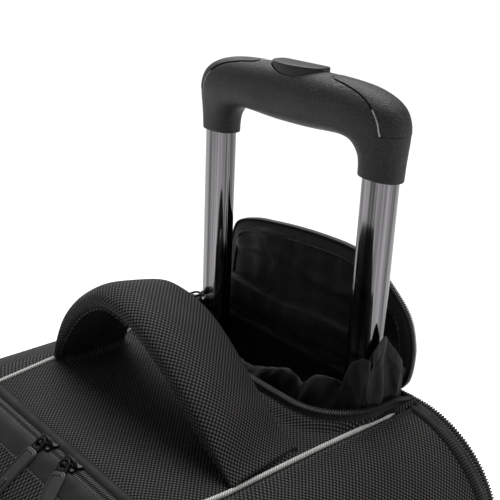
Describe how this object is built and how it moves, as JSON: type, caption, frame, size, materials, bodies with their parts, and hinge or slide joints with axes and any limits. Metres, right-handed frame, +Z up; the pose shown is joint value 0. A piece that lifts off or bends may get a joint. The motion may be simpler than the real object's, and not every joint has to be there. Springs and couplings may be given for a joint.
{
  "type": "wheeled trolley bag",
  "caption": "Soft wheeled bag with a push-button telescoping handle in a zipped top pocket, padded carry handle, hinged zip-round front lid and inline wheels.",
  "frame": {"origin": "on the floor, under the middle of the bag's bounding box", "axes": "+Z up, +Y to the back where the trolley runs, +X across the bag; the bag is symmetric about X = 0 apart from its zip sliders and pulls"},
  "size_m": [0.306, 0.26, 0.6654],
  "materials": {
    "ballistic_fabric": "woven, matte",
    "smooth_fabric": "smooth nylon, satin",
    "lining": "thin nylon, slight sheen",
    "piping": "corded, light grey",
    "zip_coil": "black coil",
    "zip_metal": "gunmetal lacquer",
    "zip_pull": "moulded, matte",
    "board": "sheet plastic",
    "black_plastic": "moulded, fine grain",
    "grip_plastic": "moulded, speckled grain, slight gloss",
    "button_plastic": "smooth",
    "insert_grey": "satin",
    "white_plastic": "natural acetal",
    "tube_chrome": "polished, dark anodised",
    "tube_mill": "mill finish",
    "steel": "zinc plated",
    "tyre": "polyurethane, matte"
  },
  "bodies": {
    "bag": {"top_panel": "ballistic_fabric", "side_panel_left": "ballistic_fabric", "side_panel_right": "ballistic_fabric", "base_panel": "smooth_fabric", "back_panel": "ballistic_fabric", "frame_board": "board", "pocket_lining": "lining", "front_welt": "smooth_fabric", "rear_welt": "smooth_fabric", "piping_left": "piping", "piping_right": "piping", "handle_anchors": "ballistic_fabric", "main_zip_bag_half": "zip_coil", "pocket_zip_bag_half": "zip_coil", "rear_zip": "zip_coil", "outer_tubes": "tube_mill", "tube_bezel": "black_plastic", "bottom_bracket": "black_plastic", "wheel_housing_left": "black_plastic", "wheel_housing_right": "black_plastic", "axle_left": "steel", "axle_right": "steel", "front_feet": "black_plastic", "housing_screws": "steel"},
    "wheel_left": {"tyre_left": "tyre", "hub_left": "black_plastic", "bearings_left": "steel"},
    "wheel_right": {"tyre_right": "tyre", "hub_right": "black_plastic", "bearings_right": "steel"},
    "middle_stage": {"middle_tubes": "tube_mill", "middle_collars": "black_plastic"},
    "upper_stage": {"upper_tubes": "tube_chrome", "tube_guides": "white_plastic", "grip_body": "grip_plastic", "grip_caps": "grip_plastic", "grip_inserts": "insert_grey", "grip_screws": "steel", "button_spring": "steel"},
    "button": {"grip_button": "button_plastic"},
    "release": {"release_bar": "steel"},
    "pins": {"lock_pins": "steel"},
    "flap": {"pocket_flap": "smooth_fabric", "pocket_zip_flap_half": "zip_coil"},
    "handle": {"carry_handle": "ballistic_fabric"},
    "lid": {"lid_gusset": "smooth_fabric", "lid_panel": "lining", "lid_front": "ballistic_fabric", "main_zip_lid_half": "zip_coil", "front_pocket_zip": "zip_coil"},
    "slider_left": {"main_slider_left": "zip_metal"},
    "pull_left": {"main_pull_left": "zip_pull"},
    "slider_right": {"main_slider_right": "zip_metal"},
    "pull_right": {"main_pull_right": "zip_pull"},
    "front_slider": {"front_pocket_slider": "zip_metal"},
    "front_pull": {"front_pocket_pull": "zip_pull"},
    "rear_slider": {"rear_zip_slider": "zip_metal"},
    "rear_pull": {"rear_zip_pull": "zip_pull"},
    "pocket_slider": {"pocket_zip_slider": "zip_metal"},
    "pocket_pull": {"pocket_zip_pull": "zip_pull"}
  },
  "joints": [
    {"name": "wheel_left_spin", "type": "hinge", "parent": "bag", "child": "wheel_left", "pos_m": [-0.124, 0.098, 0.032], "axis": [1, 0, 0], "continuous": true},
    {"name": "wheel_right_spin", "type": "hinge", "parent": "bag", "child": "wheel_right", "pos_m": [0.124, 0.098, 0.032], "axis": [1, 0, 0], "continuous": true},
    {"name": "middle_stage_slide", "type": "slide", "parent": "bag", "child": "middle_stage", "axis": [0, 0, 1], "range_m": [0, 0.26]},
    {"name": "upper_stage_slide", "type": "slide", "parent": "middle_stage", "child": "upper_stage", "axis": [0, 0, 1], "range_m": [-0.2, 0.06]},
    {"name": "button_press", "type": "slide", "parent": "upper_stage", "child": "button", "axis": [0, 0, -1], "range_m": [0, 0.003], "stiffness_N_per_m": 900, "springref_m": -0.002},
    {"name": "release_bar_slide", "type": "slide", "parent": "upper_stage", "child": "release", "axis": [0, 0, -1], "range_m": [0, 0.003], "stiffness_N_per_m": 600, "springref_m": -0.003},
    {"name": "lock_pin_slide", "type": "slide", "parent": "upper_stage", "child": "pins", "axis": [0, -1, 0], "range_m": [0, 0.0025], "stiffness_N_per_m": 400, "springref_m": -0.001},
    {"name": "flap_hinge", "type": "hinge", "parent": "bag", "child": "flap", "pos_m": [0, 0.108, 0.484], "axis": [1, 0, 0], "range_deg": [-80, 6]},
    {"name": "carry_handle_tilt", "type": "hinge", "parent": "bag", "child": "handle", "pos_m": [0, -0.0065, 0.487], "axis": [1, 0, 0], "range_deg": [-10, 10]},
    {"name": "lid_hinge", "type": "hinge", "parent": "bag", "child": "lid", "pos_m": [0, -0.084, 0.028], "axis": [1, 0, 0], "range_deg": [0, 95]},
    {"name": "slider_left_slide", "type": "slide", "parent": "lid", "child": "slider_left", "axis": [1, 0, 0], "range_m": [-0.085, 0]},
    {"name": "slider_right_slide", "type": "slide", "parent": "lid", "child": "slider_right", "axis": [1, 0, 0], "range_m": [0, 0.061]},
    {"name": "pull_left_swing", "type": "hinge", "parent": "slider_left", "child": "pull_left", "pos_m": [0, -0.0875, 0.485], "axis": [1, 0, 0], "range_deg": [-140, 0]},
    {"name": "pull_right_swing", "type": "hinge", "parent": "slider_right", "child": "pull_right", "pos_m": [0.024, -0.0875, 0.485], "axis": [1, 0, 0], "range_deg": [-140, 0]},
    {"name": "front_slider_slide", "type": "slide", "parent": "lid", "child": "front_slider", "axis": [1, 0, 0], "range_m": [0, 0.19]},
    {"name": "front_pull_swing", "type": "hinge", "parent": "front_slider", "child": "front_pull", "pos_m": [-0.095, -0.1291, 0.391], "axis": [1, 0, 0], "range_deg": [-150, 0]},
    {"name": "rear_slider_slide", "type": "slide", "parent": "bag", "child": "rear_slider", "axis": [0, 0, -1], "range_m": [0, 0.2]},
    {"name": "rear_pull_swing", "type": "hinge", "parent": "rear_slider", "child": "rear_pull", "pos_m": [0.1524, 0.109, 0.329], "axis": [0, 1, 0], "range_deg": [-150, 0]},
    {"name": "pocket_slider_slide", "type": "slide", "parent": "bag", "child": "pocket_slider", "axis": [0, -1, 0], "range_m": [0, 0.01]},
    {"name": "pocket_pull_swing", "type": "hinge", "parent": "pocket_slider", "child": "pocket_pull", "pos_m": [-0.089, 0.0835, 0.49], "axis": [1, 0, 0], "range_deg": [-95, 0]}
  ],
  "couplings": [
    {"joint": "release_bar_slide", "follows": "button_press", "ratio": 1},
    {"joint": "lock_pin_slide", "follows": "button_press", "ratio": 0.83333}
  ]
}
